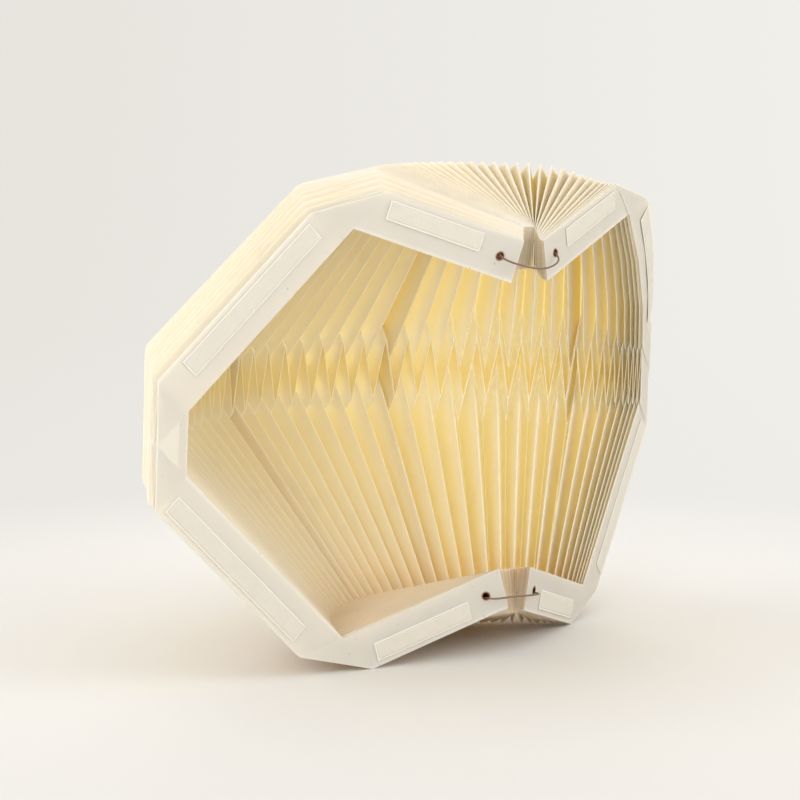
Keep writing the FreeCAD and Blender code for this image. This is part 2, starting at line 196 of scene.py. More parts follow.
def panel_corners():
    """Radius and height of folds a and b at the seven cross lines, as (2, 7, 2).
    A cross fold at half the turn between two strips is the width over the sine of that half."""
    a, b = np.zeros((7, 2)), np.zeros((7, 2))
    rise = WIDTH / math.cos(math.radians(SLOPE))
    back = WIDTH * math.cos(math.radians(SLOPE))
    b[2], a[2] = (RADIUS, rise), (RADIUS, 0)
    b[3], a[3] = (RADIUS - back, rise - back), (RADIUS - back, -back)
    b[4], a[4] = (RADIUS, 0), (RADIUS, -rise)
    b[1] = b[2] + heading(180 - SLOPE) * UPPER_RUN
    a[1] = b[1] + heading(180 - (SLOPE - TOP_ANGLE) / 2) * WIDTH / math.sin(
        math.radians((SLOPE + TOP_ANGLE) / 2))
    inward = heading(180 + TOP_ANGLE)
    a[0] = a[1] + inward * (a[1][0] - TOP_END) / -inward[0]
    b[0] = a[0] + heading(TOP_ANGLE - 90) * WIDTH
    a[5] = a[4] + heading(180 + SLOPE) * LOWER_RUN
    b[5] = a[5] + heading(180 + (SLOPE - FOOT_ANGLE) / 2) * WIDTH / math.sin(
        math.radians((SLOPE + FOOT_ANGLE) / 2))
    inward = heading(180 - FOOT_ANGLE)
    b[6] = b[5] + inward * (b[5][0] - FOOT_END) / -inward[0]
    a[6] = b[6] + heading(90 - FOOT_ANGLE) * WIDTH
    return np.stack([a, b])


CORNERS = panel_corners()
print("closed panel is %.0f mm high" % np.ptp(CORNERS[:, :, 1]))

# %% [markdown]
# ## The fan
# Opened like a hand fan, the panels turn about the axis by different amounts: the first hardly,
# the next ones evenly, most past the middle and little at the back. An array modifier would
# turn them all alike, so each long fold has an angle of its own, a running sum. The stacked ends
# have thickness, so each fold also turns about its own small hub.

# %% Angles and hubs of the long folds
GLUE = 0.42  # added where two sheets are glued, mm
FIRST_HEADING, WHOLE_FAN = 211.6, 142.7  # of the first fold, and of them all, degrees
# how much a panel opens beside the others: the first, the front ones, more in the middle, back
FIRST_SHARE, FRONT_SHARE, MIDDLE_GAIN, BACK_SHARE = 0.12, 1.82, 0.42, 0.33
MIDDLE_FROM, MIDDLE_OVER, BACK_FROM, BACK_OVER = 31, 12, 56, 27  # panels


def smooth(x):
    """3 x squared less 2 x cubed, held between 0 and 1."""
    x = np.clip(x, 0, 1)
    return x * x * (3 - 2 * x)


def glue(panel):
    """Layers added where two sheets are glued one on the other."""
    return np.where((panel % STEP == 0) & (panel > 0) & (panel < PANELS - 1), GLUE / LAYER, 0.0)


def fan_angles():
    """Running sum of each panel's share of the whole fan angle, from the front panel back."""
    panel = np.arange(PANELS)
    left = FRONT_SHARE + MIDDLE_GAIN * smooth((panel - MIDDLE_FROM) / MIDDLE_OVER)
    share = left + (BACK_SHARE - left) * smooth((panel - BACK_FROM) / BACK_OVER)
    share[0] = FIRST_SHARE
    turned = WHOLE_FAN * np.concatenate([[0], np.cumsum(share)]) / share.sum()
    return FIRST_HEADING - turned


def ring(degrees):
    """Unit vectors in plan for an array of angles."""
    turn = np.radians(degrees)
    return np.stack([np.cos(turn), np.sin(turn)], -1)


def hub_points(angle):
    """Running sum of steps across the fan, each the layers' thickness less the arc at the hub."""
    step = np.radians(-np.diff(angle))
    slide = LAYER * (1 + glue(np.arange(PANELS))) - min(TOP_END, FOOT_END) * step
    across = ring((angle[1:] + angle[:-1]) / 2 - 90)
    return np.vstack([[0, 0], np.cumsum(across * slide[:, None], axis=0)])


ANGLE = fan_angles()
HUB = hub_points(ANGLE)
print("fan turns through %.1f degrees" % (ANGLE[0] - ANGLE[-1]))

# %% [markdown]
# ## Carrying the flat panel out
# A pleat that opens changes shape a little: it draws in at the waist and rises at the top,
# while its foot stays on the floor. A lattice could bend a finished mesh like this, but the
# corners are few, so each is carried out by a formula before there is any mesh.

# %% From the closed panel to the fan
OPEN_OVER = 10  # panels until the pleats are fully open
CLOSE_FROM, CLOSE_OVER = 0.72, 0.21  # where they close again, in shares of the band
SWING, SWING_FROM, SWING_OVER = 8.0, 0.69, 0.31  # turn of the last tops, degrees, and where
WAIST_DRAW, TOP_RISE = 0.053, 0.072


def opened(line):
    """0 on a closed pleat and 1 on a fully opened one."""
    closing = smooth((line - CLOSE_FROM * PANELS) / (CLOSE_OVER * PANELS))
    return smooth(line / OPEN_OVER) * (1 - closing)


def carry(line, flat, across, share):
    """Point of the closed panel: its hub, plus its radius along the fold's angle, plus its place
    across it. The radius shrinks by the waist's share, a height above the waist grows by the
    top's share, and one below is scaled so that the foot meets the floor."""
    late = smooth((line - SWING_FROM * PANELS) / (SWING_OVER * PANELS))
    angle = ANGLE[line] - share * SWING * late
    waist = 1 - WAIST_DRAW * opened(line)
    reach = HUB[line] + ring(angle) * (CORNERS[1, 5, 0] * waist)[..., None]
    first = HUB[0] + ring(ANGLE[0]) * CORNERS[1, 5, 0]
    uphill = (reach - first) @ np.array([math.cos(LEAN_SIDE), math.sin(LEAN_SIDE)])
    sink = (CORNERS[1, 5, 1] - math.tan(LEAN) * uphill) / CORNERS[1, 5, 1]
    scale = np.where(flat[..., 1] > 0, 1 + TOP_RISE * opened(line), sink)
    plan = (HUB[line] + ring(angle) * (flat[..., 0] * waist)[..., None]
            + ring(angle - 90) * across[..., None])
    return np.concatenate([plan, (flat[..., 1] * scale)[..., None]], -1)


print("fully opened panels:", int((opened(np.arange(PANELS)) > 0.99).sum()))

# %% [markdown]
# ## One glued sheet of paper
# Each sheet is a single piece of thick paper, 18 panels wide. It could be folded by a physics
# simulation, but folds are exact, so every corner of every panel is set by a formula: half
# a thickness outside or inside each long fold, and a layer to one side after each cross fold.

# %% Rows of corners down a sheet
# where the free part of the upper slope starts and ends on folds a and b, in panel widths
PAST_FOLD, SHORT_OF_FOLD = (0.07, 0.09), (1.15, 0.15)
# strip, cross fold, share of the slope (nan on a fold), side of the fan the strip lies on
NO = float("nan")
ROWS = np.array([
    (0, 0, NO, 0), (0, 1, NO, 1), (1, 1, NO, -1), (1, 1, 0.0, -1), (1, 1, 0.33, -1),
    (1, 1, 0.67, -1), (1, 1, 1.0, -1), (1, 2, NO, -1), (2, 2, NO, 1), (2, 3, NO, -1),
    (3, 3, NO, 1), (3, 4, NO, -1), (4, 4, NO, 1), (4, 5, NO, 1), (5, 5, NO, -1), (5, 6, NO, 0)])
STRIP, FOLD, LIFT = (ROWS[:, i].astype(int) for i in (0, 1, 3))
SHARE = ROWS[:, 2]
ON_FOLD = np.isnan(SHARE)
STRIP_WAY = CORNERS[:, STRIP + 1] - CORNERS[:, STRIP]
STRIP_WAY /= np.linalg.norm(STRIP_WAY, axis=-1, keepdims=True)


def row_places():
    """Radius and height where each row crosses folds a and b, as (2, 16, 2)."""
    flat = CORNERS[:, FOLD].copy()
    reach = 1 / math.sin(math.radians(SLOPE + TOP_ANGLE)) + PAST_FOLD[0]
    after, before = np.array([reach, PAST_FOLD[1]]) * WIDTH, np.array(SHORT_OF_FOLD) * WIDTH
    way = STRIP_WAY[:, 2]
    first = CORNERS[:, 1] + way * after[:, None]
    last = CORNERS[:, 2] - way * before[:, None]
    share = np.nan_to_num(SHARE)[None, :, None]
    between = first[:, None] * (1 - share) + last[:, None] * share
    return np.where(ON_FOLD[None, :, None], flat, between)


def normal_away(way, other):
    """A direction turned a quarter, and turned back where it points towards the other point."""
    normal = np.stack([-way[..., 1], way[..., 0]], -1)
    return normal * np.where((normal * other).sum(-1) < 0, 1, -1)[..., None]


def fold_slides():
    """Slide along a long fold that moves its corner one unit off the cross fold's line."""
    folds = CORNERS[::-1][:, FOLD] - CORNERS[:, FOLD]
    ridge = normal_away(STRIP_WAY, (CORNERS[::-1][:, STRIP] - CORNERS[:, STRIP]))
    cross_way = folds / np.linalg.norm(folds, axis=-1, keepdims=True)
    inner = np.clip(FOLD, 1, 5) - 1
    cross = normal_away(cross_way, CORNERS[:, inner] - CORNERS[:, FOLD])
    det = ridge[..., 0] * cross[..., 1] - ridge[..., 1] * cross[..., 0]
    return np.stack([-ridge[..., 1], ridge[..., 0]], -1) / np.where(det == 0, 1, det)[..., None]


PLACES, SLIDES = row_places(), fold_slides()
print("rows down a sheet:", len(ROWS))

# %% [markdown]
# ## Both faces of the card
# The card of the real shade has a thickness, and its layers lie on each other without passing
# through. A Solidify modifier could push crowded folds into their neighbours, so the corners of
# both faces are placed here, each by half the card to its own side. Two sheets overlap by one
# whole glued panel, and the edge that lies on top stays a little back from the fold.

# %% Corners of all panels of one sheet
FLAP_INSET = 0.6  # how far that edge stays back, mm


def sheet_corners(number):
    """Corners of both faces of a sheet as (side, row, panel, start or end, xyz), in mm."""
    panel = (number * STEP + np.arange(STEP + 1))[None, None, :, None]
    side = np.arange(2)[:, None, None, None]
    end = np.arange(2)[None, None, None, :]
    strip, fold, lift, on_fold = (v[None, :, None, None] for v in (STRIP, FOLD, LIFT, ON_FOLD))
    row = np.arange(len(ROWS))[None, :, None, None]
    line = panel + end
    way = np.where(panel % 2 == 0, 1, -1)
    over = (number > 0) & (panel == number * STEP)
    high = (panel + strip + side) % 2 == 0
    wraps = over == (fold != 3)
    extra = glue(panel)
    outer = ((fold == 0) == (panel % 2 == 0)) == (end == 0)
    room = np.where(lift != 0, 1 + extra, np.where(outer, 0.5, 0.5 + extra))
    aside = np.where(lift != 0, way * lift * (0.5 + np.where(wraps, extra, 0)),
                     way * np.where(fold == 0, 1, -1) * np.where(over, extra, 0))
    face = np.where(high, 0.5, -0.5) * PAPER
    across = (room * np.where(end == 0, 1, -1) + aside) * LAYER + face
    off = 0.5 * PAPER * np.where(high == (way * lift > 0), 1, -1) - np.where(
        wraps, 0, LAYER * extra)
    off = np.where((lift != 0) & on_fold, off, 0)
    shape = np.broadcast_shapes(across.shape, line.shape)
    kind, line = np.broadcast_to(line % 2, shape), np.broadcast_to(line, shape)
    row = np.broadcast_to(row, shape)
    flat = PLACES[kind, row] + SLIDES[kind, row] * np.broadcast_to(off, shape)[..., None]
    down_slope = np.nan_to_num(SHARE)[None, :, None, None]
    swung = np.where(on_fold, np.where(fold < 2, 1.0, 0.0), 1 - down_slope)
    points = carry(line, flat, np.broadcast_to(across, shape), np.broadcast_to(swung, shape))
    reach = 0.5 * PAPER * np.where(high == (end == 0), 1, -1)
    first, last = (panel == panel.min()) & (end == 0), (panel == panel.max()) & (end == 1)
    flap = np.where((line == 0) | (line == PANELS), 0.0, -FLAP_INSET)
    reach = np.where(first | last, flap, reach)
    return points + (points - points[:, :, :, ::-1]) * (reach / WIDTH)[..., None]


SHEET_CORNERS = [sheet_corners(i) for i in range(SHEETS)]
gathered = np.concatenate([c.reshape(-1, 3) for c in SHEET_CORNERS]) @ TURN.T
low, high = gathered.min(0), gathered.max(0)
print("paper spans", (high - low).round(1), "mm; axis foot",
      [round(float(v), 3) for v in (-(low + high)[0] / 2, -(low + high)[1] / 2, -low[2])])

# %% [markdown]
# ## From corners to a fine mesh with punched holes
# The corners alone would give long thin faces. A finer grid is laid over them by blending the
# four corners of each cell. For a cord hole, square rings of the grid are eased to round ones
# and the cells inside are left out. A boolean cut would give the same hole with worse faces.

# %% Fine rows and columns
HOLE, HOLE_INSET = 2.75, 17.7  # radius, and distance from the end of the sheet, mm
EASE = 8.0  # square to round happens within this distance
ROW_GAP, EDGE_ROW = 18, 3  # mm between rows, and from the cut end to the first
END_ROWS = 16  # from a hole to the end of its strip, both ends counted
RIM_SLACK = 0.01  # mm
beside_folds = [0, 0.04, 0.13, 0.87, 0.96, 1]
ring_steps = np.array([-EASE, -HOLE, -HOLE / 2, 0, HOLE / 2, HOLE, EASE])
across_shares = np.unique(np.concatenate([beside_folds, 0.5 + ring_steps / WIDTH]))
row_length = np.linalg.norm(np.diff(PLACES, axis=1), axis=-1).mean(0)
row_length[STRIP[1:] != STRIP[:-1]] = 0
down_sheet = np.concatenate([[0], np.cumsum(row_length)])
print("a sheet is %.0f x %.0f mm flat" % ((STEP + 1) * WIDTH, down_sheet[-1]))


def fine_rows():
    """Row numbers with fractions: close at the holes and folds, about 18 mm apart elsewhere."""
    holes = np.concatenate([[0, EDGE_ROW], HOLE_INSET + ring_steps])
    below_hole = EASE + HOLE_INSET
    rows = []
    for i, length in enumerate(row_length):
        spots = np.concatenate([[0], np.linspace(0, length, 2 + int(length / ROW_GAP))[1:-1]])
        if i in (0, len(row_length) - 1):
            spots = np.concatenate([holes, np.linspace(below_hole, length, END_ROWS)[1:-1]])
        share = spots / length if length else np.zeros(1)
        rows.append(i + (np.sort(1 - share) if i == len(row_length) - 1 else share))
    return np.unique(np.concatenate(rows + [[0, len(row_length) - 1, len(row_length)]]))


def eased(down, across, centre, length):
    """Square rings about the hole become round: each point moves along its ray by the ratio of
    its larger offset to its distance, and the effect fades out over the easing width."""
    x, y = (down - centre) * length, (across - 0.5) * WIDTH
    square, far = np.maximum(abs(x), abs(y)), np.maximum(np.hypot(x, y), 1e-6)
    fade = 1 - smooth((square - HOLE) / (EASE - HOLE))
    grow = np.where(square < EASE, 1 + fade * (square / far - 1), 1)
    return centre + x * grow / length, 0.5 + y * grow / WIDTH


# %% [markdown]
# ## The grid of one panel
# All 86 panels are alike in their own measures, so one grid serves them all: how far down the
# sheet and how far across the panel each point lies, eased at both holes.

# %% Grid with its two round holes
down, across = np.meshgrid(fine_rows(), across_shares, indexing="ij")
last_row = len(ROWS) - 1
hole_rows = [(HOLE_INSET / row_length[0], row_length[0]),
             (last_row - HOLE_INSET / row_length[-1], row_length[-1])]
new_down, new_across = down.copy(), across.copy()
for (centre, length), near in zip(hole_rows, (down < 1, down > last_row - 1)):
    moved = eased(down, across, centre, length)
    new_down = np.where(near, moved[0], new_down)
    new_across = np.where(near, moved[1], new_across)
print("fine grid of a panel:", down.shape)

# %% [markdown]
# ## Closing a thin sheet
# A sheet with thickness is two faces and a narrow wall all round, and round each hole. The
# walls could be bridged by hand in edit mode. Here a grid of kept and missing cells says where
# they go: a wall stands wherever a kept cell meets a missing one.

# %% Faces of a thin closed sheet


def shell_faces(kept):
    """Quads of the two faces of a sheet over the kept cells of a grid, and a wall wherever a
    kept cell meets a missing one or the border."""
    rows, columns = kept.shape[0] + 1, kept.shape[1] + 1
    number = np.arange(2 * rows * columns).reshape(2, rows, columns)

    def quad(a, b, c, d, where):
        return np.stack([a[where], b[where], c[where], d[where]], -1)

    under, over = number
    faces = [quad(under[:-1, :-1], under[:-1, 1:], under[1:, 1:], under[1:, :-1], kept),
             quad(over[1:, :-1], over[1:, 1:], over[:-1, 1:], over[:-1, :-1], kept)]
    wide = np.pad(kept, 1)
    left, right = wide[1:-1, :-1], wide[1:-1, 1:]
    faces.append(quad(under[:-1], under[1:], over[1:], over[:-1], right & ~left))
    faces.append(quad(over[:-1], over[1:], under[1:], under[:-1], left & ~right))
    above, below = wide[:-1, 1:-1], wide[1:, 1:-1]
    faces.append(quad(under[:, 1:], under[:, :-1], over[:, :-1], over[:, 1:], below & ~above))
    faces.append(quad(over[:, 1:], over[:, :-1], under[:, :-1], under[:, 1:], above & ~below))
    return np.concatenate(faces)


def outward(points, faces):
    """Faces in the order that gives a positive volume, a sixth of the summed triple products."""
    a, b, c, d = (points[faces[:, i]] for i in range(4))
    volume = (a * np.cross(b, c)).sum() + (a * np.cross(c, d)).sum()
    return faces if volume > 0 else faces[:, ::-1]


print("one cell alone closes with", len(shell_faces(np.ones((1, 1), bool))), "faces")

# %% [markdown]
# ## A piece from arrays
# Every sheet and tape becomes an object in the same way. Besides its points and faces it gets
# a flat map, as if laid out on a table, and named values such as the distance to a fold. A
# painted mask could hold those, but a stored value stays sharp at every size.

# %% Make a piece


def make_piece(name, points, faces, values, flat_places):
    """Mesh piece from arrays, with named values at its points and a map of its flat places."""
    used, faces = np.unique(faces, return_inverse=True)
    faces = faces.reshape(-1, 4)
    points = points[used]
    faces = outward(points - points.mean(0), faces)
    mesh = bpy.data.meshes.new(name)
    mesh.from_pydata(points, [], faces)
    for key, value in values.items():
        mesh.attributes.new(key, "FLOAT", "POINT").data.foreach_set("value", value[used])
    layer = mesh.uv_layers.new(name="flat")
    layer.uv.foreach_set("vector", flat_places[used][faces.ravel()].ravel())
    mesh.validate()
    piece = bpy.data.objects.new(name, mesh)
    scene.collection.objects.link(piece)
    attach(piece, "root")
    return piece


# %% [markdown]
# ## What the finish needs to know of each point
# The finish paints the card's tone after its folds. A fold that stands out is pale, partly from
# wear and partly as a painted highlight. Deep in a valley the card has a painted golden glow.
# Round a hole there is a ring that is partly stain and partly painted shade. Texture coordinates
# alone don't know the folds, so those distances are worked out with the points and kept in the
# mesh.

# %% Fine points and their values
NO_HOLE = 99.0  # distance stored where no hole is near, mm


def fine_sheet(corners):
    """Blend of the four corners round each fine point, as (side, row, column, xyz)."""
    base = np.minimum(new_down.astype(int), last_row - 1)
    part = (new_down - base)[None, :, :, None, None]
    start_end = corners[:, base] * (1 - part[..., None]) + corners[:, base + 1] * part[..., None]
    share = new_across[None, :, :, None, None]
    points = start_end[..., 0, :] * (1 - share) + start_end[..., 1, :] * share
    points = points.transpose(0, 1, 3, 2, 4)
    return points.reshape(2, points.shape[1], -1, 3)


def paper_values(number):
    """For each fine point: distance to the nearest long fold, cross fold and hole in mm, depth
    in its pleat from the fold that stands out, panel number, whether two layers are glued
    there, and which side of the paper it is on. Each cross fold turns the pleats over, so the
    fold that stands out changes with the parity of panel and strip."""
    rows, columns = new_down.shape
    panel = number * STEP + np.arange(STEP + 1)
    full = (2, rows, STEP + 1, columns)
    place = np.interp(new_down, np.arange(len(ROWS)), down_sheet)
    gap = abs(place[..., None] - down_sheet[ON_FOLD]).min(-1)
    edge = np.minimum(new_across, 1 - new_across) * WIDTH
    hole = np.full(new_down.shape, NO_HOLE)
    for (centre, length), near in zip(hole_rows, (down < 1, down > last_row - 1)):
        off = np.hypot((new_down - centre) * length, (new_across - 0.5) * WIDTH)
        hole = np.where(near, off, hole)

    strip = STRIP[new_down[:, 0].astype(int)]
    starts_inside = (panel + strip[:, None]) % 2 == 1
    into = np.where(starts_inside[..., None], new_across[:, None], 1 - new_across[:, None]) * WIDTH

    def spread(value):
        return np.broadcast_to(value, full).astype(np.float32).ravel()

    values = {
        "depth": spread(np.stack([WIDTH - into, into])),
        "to_fold": spread(edge[None, :, None, :]),
        "to_cross": spread(gap[None, :, None, :]),
        "to_hole": spread(hole[None, :, None, :]),
        "down": spread(place[None, :, None, :]),
        "panel": spread(panel[None, None, :, None]),
        "double": spread((glue(panel) > 0)[None, None, :, None]),
        "side": spread(np.arange(2)[:, None, None, None]),
    }
    wide = spread(((np.arange(STEP + 1)[:, None] + new_across[:, None, :]) * WIDTH / 1000)[None])
    return values, np.stack([wide, spread((place / 1000)[None, :, None, :])], -1)


print("values at each point:", sorted(paper_values(0)[0]))

# %% [markdown]
# ## The five sheets
# The band is glued from five sheets, and each is one piece here too, not 18 loose panels. All
# five share one list of faces, since they differ only in where their points lie.

# %% Sheets in their places


def kept_cells():
    """Every cell of the grid but those whose four corners lie in a hole or on its rim."""
    near = np.zeros(down.shape, bool)
    for centre, length in hole_rows:
        offset = np.maximum(abs(down - centre) * length, abs(across - 0.5) * WIDTH)
        near |= offset < HOLE + RIM_SLACK
    inside = near[:-1, :-1] & near[1:, :-1] & near[:-1, 1:] & near[1:, 1:]
    one = np.hstack([~inside, np.ones((len(down) - 1, 1), bool)])
    return np.tile(one, (1, STEP + 1))[:, :-1]


sheet_faces = shell_faces(kept_cells())
sheets = []
for i, corners in enumerate(SHEET_CORNERS):
    values, flat_places = paper_values(i)
    points = stand(fine_sheet(corners).reshape(-1, 3))
    sheet = make_piece("folded_sheet_%d" % (i + 1), points, sheet_faces, values, flat_places)
    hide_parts("paper_sheet_%d" % (i + 1))
    sheets.append(sheet)
print("sheets:", len(sheets), "with", len(sheets[0].data.polygons), "faces each")

# %% [markdown]
# ## The stick-on tapes
# Loop tape has a flat woven border and a raised pile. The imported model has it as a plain
# strip that follows the paper, so the strip is measured: its own three axes come from its
# points, and a smooth surface fitted to them carries any twist. The new tape is a fine grid
# on that surface, thinner at its border. Displacing the strip's few faces would not do that.

# %% Tapes from their measured strips
TAPE = 0.9  # thickness, mm
RIM_ROWS = np.array([0, 0.12, 0.35, 0.8, 1.3, 1.55, 1.85, 2.2, 2.6])
PILE_FROM, PILE_GAP = 3.5, 1.6  # rows past the border along the tape
MIDDLE_FROM_EDGE, MIDDLE_ROWS = 3.6, 6


def strip_frame(node):
    """Centre, axes (long, wide, thick) and twist of a strip: principal axes of its points, and
    a least-squares polynomial for its middle surface."""
    mesh = frame["nodes"][node].data
    points = np.zeros(len(mesh.vertices) * 3)
    mesh.vertices.foreach_get("co", points)
    points = np.unique((points.reshape(-1, 3) * 1000).round(4), axis=0)
    centre = points.mean(0)
    axes = np.linalg.svd(points - centre, full_matrices=False)[2]
    u, v, w = ((points - centre) @ axes.T).T
    twist = np.linalg.lstsq(bend_terms(u, v), w, rcond=None)[0]
    return centre, axes, (u.min(), u.max()), (v.min(), v.max()), twist


def bend_terms(u, v):
    """Terms of the middle surface: 1, u, v, uv, u squared, v squared, u squared v, u cubed,
    with u in units of 80 mm along the strip and v in units of 8 mm across it."""
    u, v = u / 80, v / 8
    return np.stack([np.ones_like(u), u, v, u * v, u * u, v * v, u * u * v, u ** 3], -1)


def tape_thickness(rim):
    """Half thickness by distance from the edge: a third at the cut edge, full within 0.35 mm,
    0.72 of that on the flat selvedge, the pile from 1.9 mm in, and a groove at 1.7 mm."""
    edge = 0.34 + 0.66 * smooth(rim / 0.35)
    pile = 0.72 + 0.28 * smooth((rim - 1.9) / 0.6)
    groove = 0.14 * np.exp(-((rim - 1.7) / 0.3) ** 2)
    return TAPE / 2 * (edge * pile - groove)


print("a tape is %.2f mm thick at its edge" % (2 * tape_thickness(0.0)))

# %% [markdown]
# ## A tape from its strip
# The real tapes are cut from a roll, so all eight are alike but for length and place. One
# function makes each from its strip. Rows are close at the border, where the thickness
# changes, and wide apart on the even pile.

# %% Eight tapes


def make_tape(name, node):
    """Grid along and across the strip, on both sides of its middle surface."""
    centre, axes, (u0, u1), (v0, v1), twist = strip_frame(node)
    pile = np.arange(u0 + PILE_FROM, u1 - PILE_FROM, PILE_GAP)
    across = np.linspace(v0 + MIDDLE_FROM_EDGE, v1 - MIDDLE_FROM_EDGE, MIDDLE_ROWS)
    us = np.concatenate([u0 + RIM_ROWS, pile, (u1 - RIM_ROWS)[::-1]])
    vs = np.concatenate([v0 + RIM_ROWS, across, (v1 - RIM_ROWS)[::-1]])
    u, v = np.meshgrid(us, vs, indexing="ij")
    rim = np.minimum(np.minimum(u - u0, u1 - u), np.minimum(v - v0, v1 - v))
    middle, half = bend_terms(u, v) @ twist, tape_thickness(rim)
    sides = [np.stack([u, v, middle + way * half], -1) for way in (1, -1)]
    points = (np.stack(sides).reshape(-1, 3) @ axes + centre) / 1000
    flat = np.stack([(u - u0) / 1000, (v - v0) / 1000], -1)
    values = {"rim": np.tile(rim.ravel(), 2).astype(np.float32)}
    faces = shell_faces(np.ones((len(us) - 1, len(vs) - 1), bool))
    piece = make_piece(name, points, faces, values, np.tile(flat.reshape(-1, 2), (2, 1)))
    piece.data.shade_smooth()
    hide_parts(node)
    return piece


tapes = [make_tape("%s_%s_loop_tape" % (end, place), "%s_%s_tape" % (end, place))
         for end in ("front", "back") for place in ("top", "upper", "lower", "foot")]
print("tapes:", len(tapes), "with", len(tapes[0].data.polygons), "faces on the first")

# %% [markdown]
# ## Fibres, shared by every finish
# Paper, woven tape and waxed string all show the same two things at different sizes: soft
# clouds of slightly different tone and a fine raised grain. The nodes could be copied into
# each material, but a group is built once and takes its scale from the material it is in. A few
# helpers come first, which make one node each.

# %% Helpers that make one node


def node_group(name, inputs, outputs):
    """Empty group with named float or vector inputs and float outputs."""
    group = bpy.data.node_groups.new(name, "ShaderNodeTree")
    for key, kind, value in inputs:
        socket = group.interface.new_socket(key, in_out="INPUT", socket_type=kind)
        if value is not None:
            socket.default_value = value
    for key in outputs:
        group.interface.new_socket(key, in_out="OUTPUT", socket_type="NodeSocketFloat")
    return group, group.nodes.new("NodeGroupInput"), group.nodes.new("NodeGroupOutput")


def settings(tree, node, values):
    """Values of a node's inputs: a number or a colour is set on it, a socket is linked to it."""
    for key, value in values.items():
        if isinstance(value, tuple):
            node.inputs[key].default_value = (*value, 1)
        elif isinstance(value, (int, float)):
            node.inputs[key].default_value = value
        else:
            tree.links.new(value, node.inputs[key])
    return node


def texture(tree, kind, place, **numbers):
    """Texture node at a place with its own numbers."""
    return settings(tree, tree.nodes.new("ShaderNodeTex" + kind), {"Vector": place, **numbers})


def maths(tree, kind, a, b=0.0, c=0.0):
    """Math node of a kind."""
    node = tree.nodes.new("ShaderNodeMath")
    node.operation = kind
    return settings(tree, node, {0: a, 1: b, 2: c}).outputs[0]


def ramp(tree, value, start, stop, low=0.0, high=1.0):
    """Smooth change from low to high as the value goes from start to stop."""
    node = tree.nodes.new("ShaderNodeMapRange")
    node.interpolation_type = "SMOOTHSTEP"
    return settings(tree, node, {"Value": value, "From Min": start, "From Max": stop,
                                 "To Min": low, "To Max": high}).outputs["Result"]


def times(tree, a, b):
    """Product of two values."""
    return maths(tree, "MULTIPLY", a, b)


print("helpers:", [f.__name__ for f in (node_group, settings, texture, maths, ramp, times)])

# %% [markdown]
# ## Fibres and handling
# Handled card collects small dark specks and wider, fainter smudges. They are two more noises,
# cut so that only their peaks show.

# %% Two shared groups
GRAIN_FINER = 45.0  # grain against clouds
fibres, fin, fout = node_group(
    "fibres", [("Place", "NodeSocketVector", None), ("Scale", "NodeSocketFloat", 20.0)],
    ["Clouds", "Grain"])
wide = fin.outputs["Scale"]
fine = times(fibres, wide, GRAIN_FINER)
for look, scale, detail in (("Clouds", wide, 5.0), ("Grain", fine, 2.0)):
    made = texture(fibres, "Noise", fin.outputs["Place"], Scale=scale, Detail=detail)
    fibres.links.new(made.outputs["Fac"], fout.inputs[look])

handling, hin, hout = node_group(
    "handling", [("Place", "NodeSocketVector", None)], ["Specks", "Smudges"])
for mark, scale, detail, start, stop in (("Specks", 240.0, 1.0, 0.735, 0.80),
                                         ("Smudges", 26.0, 4.0, 0.56, 0.74)):
    made = texture(handling, "Noise", hin.outputs["Place"], Scale=scale, Detail=detail)
    handling.links.new(ramp(handling, made.outputs["Fac"], start, stop), hout.inputs[mark])
print("groups:", [g.name for g in bpy.data.node_groups])

# %% [markdown]
# ## Starting a material
# Every finish here starts from a Principled shader and Object coordinates, which don't slide
# when the piece is seen from elsewhere. The steps that repeat are functions, so that each
# material reads as a short list of layers of colour.

# %% Helpers for a material


def material(name):
    """Material with its Principled shader, its output and an Object coordinate socket."""
    made = bpy.data.materials.new(name)
    made.use_nodes = True
    tree = made.node_tree
    place = tree.nodes.new("ShaderNodeTexCoord").outputs["Object"]
    return made, tree, tree.nodes["Principled BSDF"], tree.nodes["Material Output"], place


def use_group(tree, group, place, **numbers):
    """A shared group placed in a material with its own numbers."""
    node = tree.nodes.new("ShaderNodeGroup")
    node.node_tree = group
    return settings(tree, node, {"Place": place, **numbers}).outputs


def value_of(tree, name):
    """Float stored at the points of the mesh."""
    node = tree.nodes.new("ShaderNodeAttribute")
    node.attribute_name = name
    return node.outputs["Fac"]


def blend(tree, share, first, second, kind="MIX"):
    """Mix of two colours by a share; a colour is a tuple or a socket."""
    node = tree.nodes.new("ShaderNodeMix")
    node.data_type, node.blend_type = "RGBA", kind
    return settings(tree, node, {0: share, 6: first, 7: second}).outputs[2]


def layers(tree, colour, *coats):
    """Coats laid over a colour one by one, each a share and its own colour."""
    for share, tint in coats:
        colour = blend(tree, share, colour, tint)
    return colour


def mix_shaders(tree, share, first, second):
    """Mix Shader of two shaders by a share."""
    node = tree.nodes.new("ShaderNodeMixShader")
    return settings(tree, node, {0: share, 1: first, 2: second}).outputs[0]


def bump(tree, height, strength, distance, shader):
    """Bump node on the shader's normal, which is also handed back."""
    node = settings(tree, tree.nodes.new("ShaderNodeBump"),
                    {"Strength": strength, "Distance": distance, "Height": height})
    tree.links.new(node.outputs[0], shader.inputs["Normal"])
    return node.outputs[0]


print("helpers:", [f.__name__ for f in (material, use_group, blend, layers, mix_shaders, bump)])
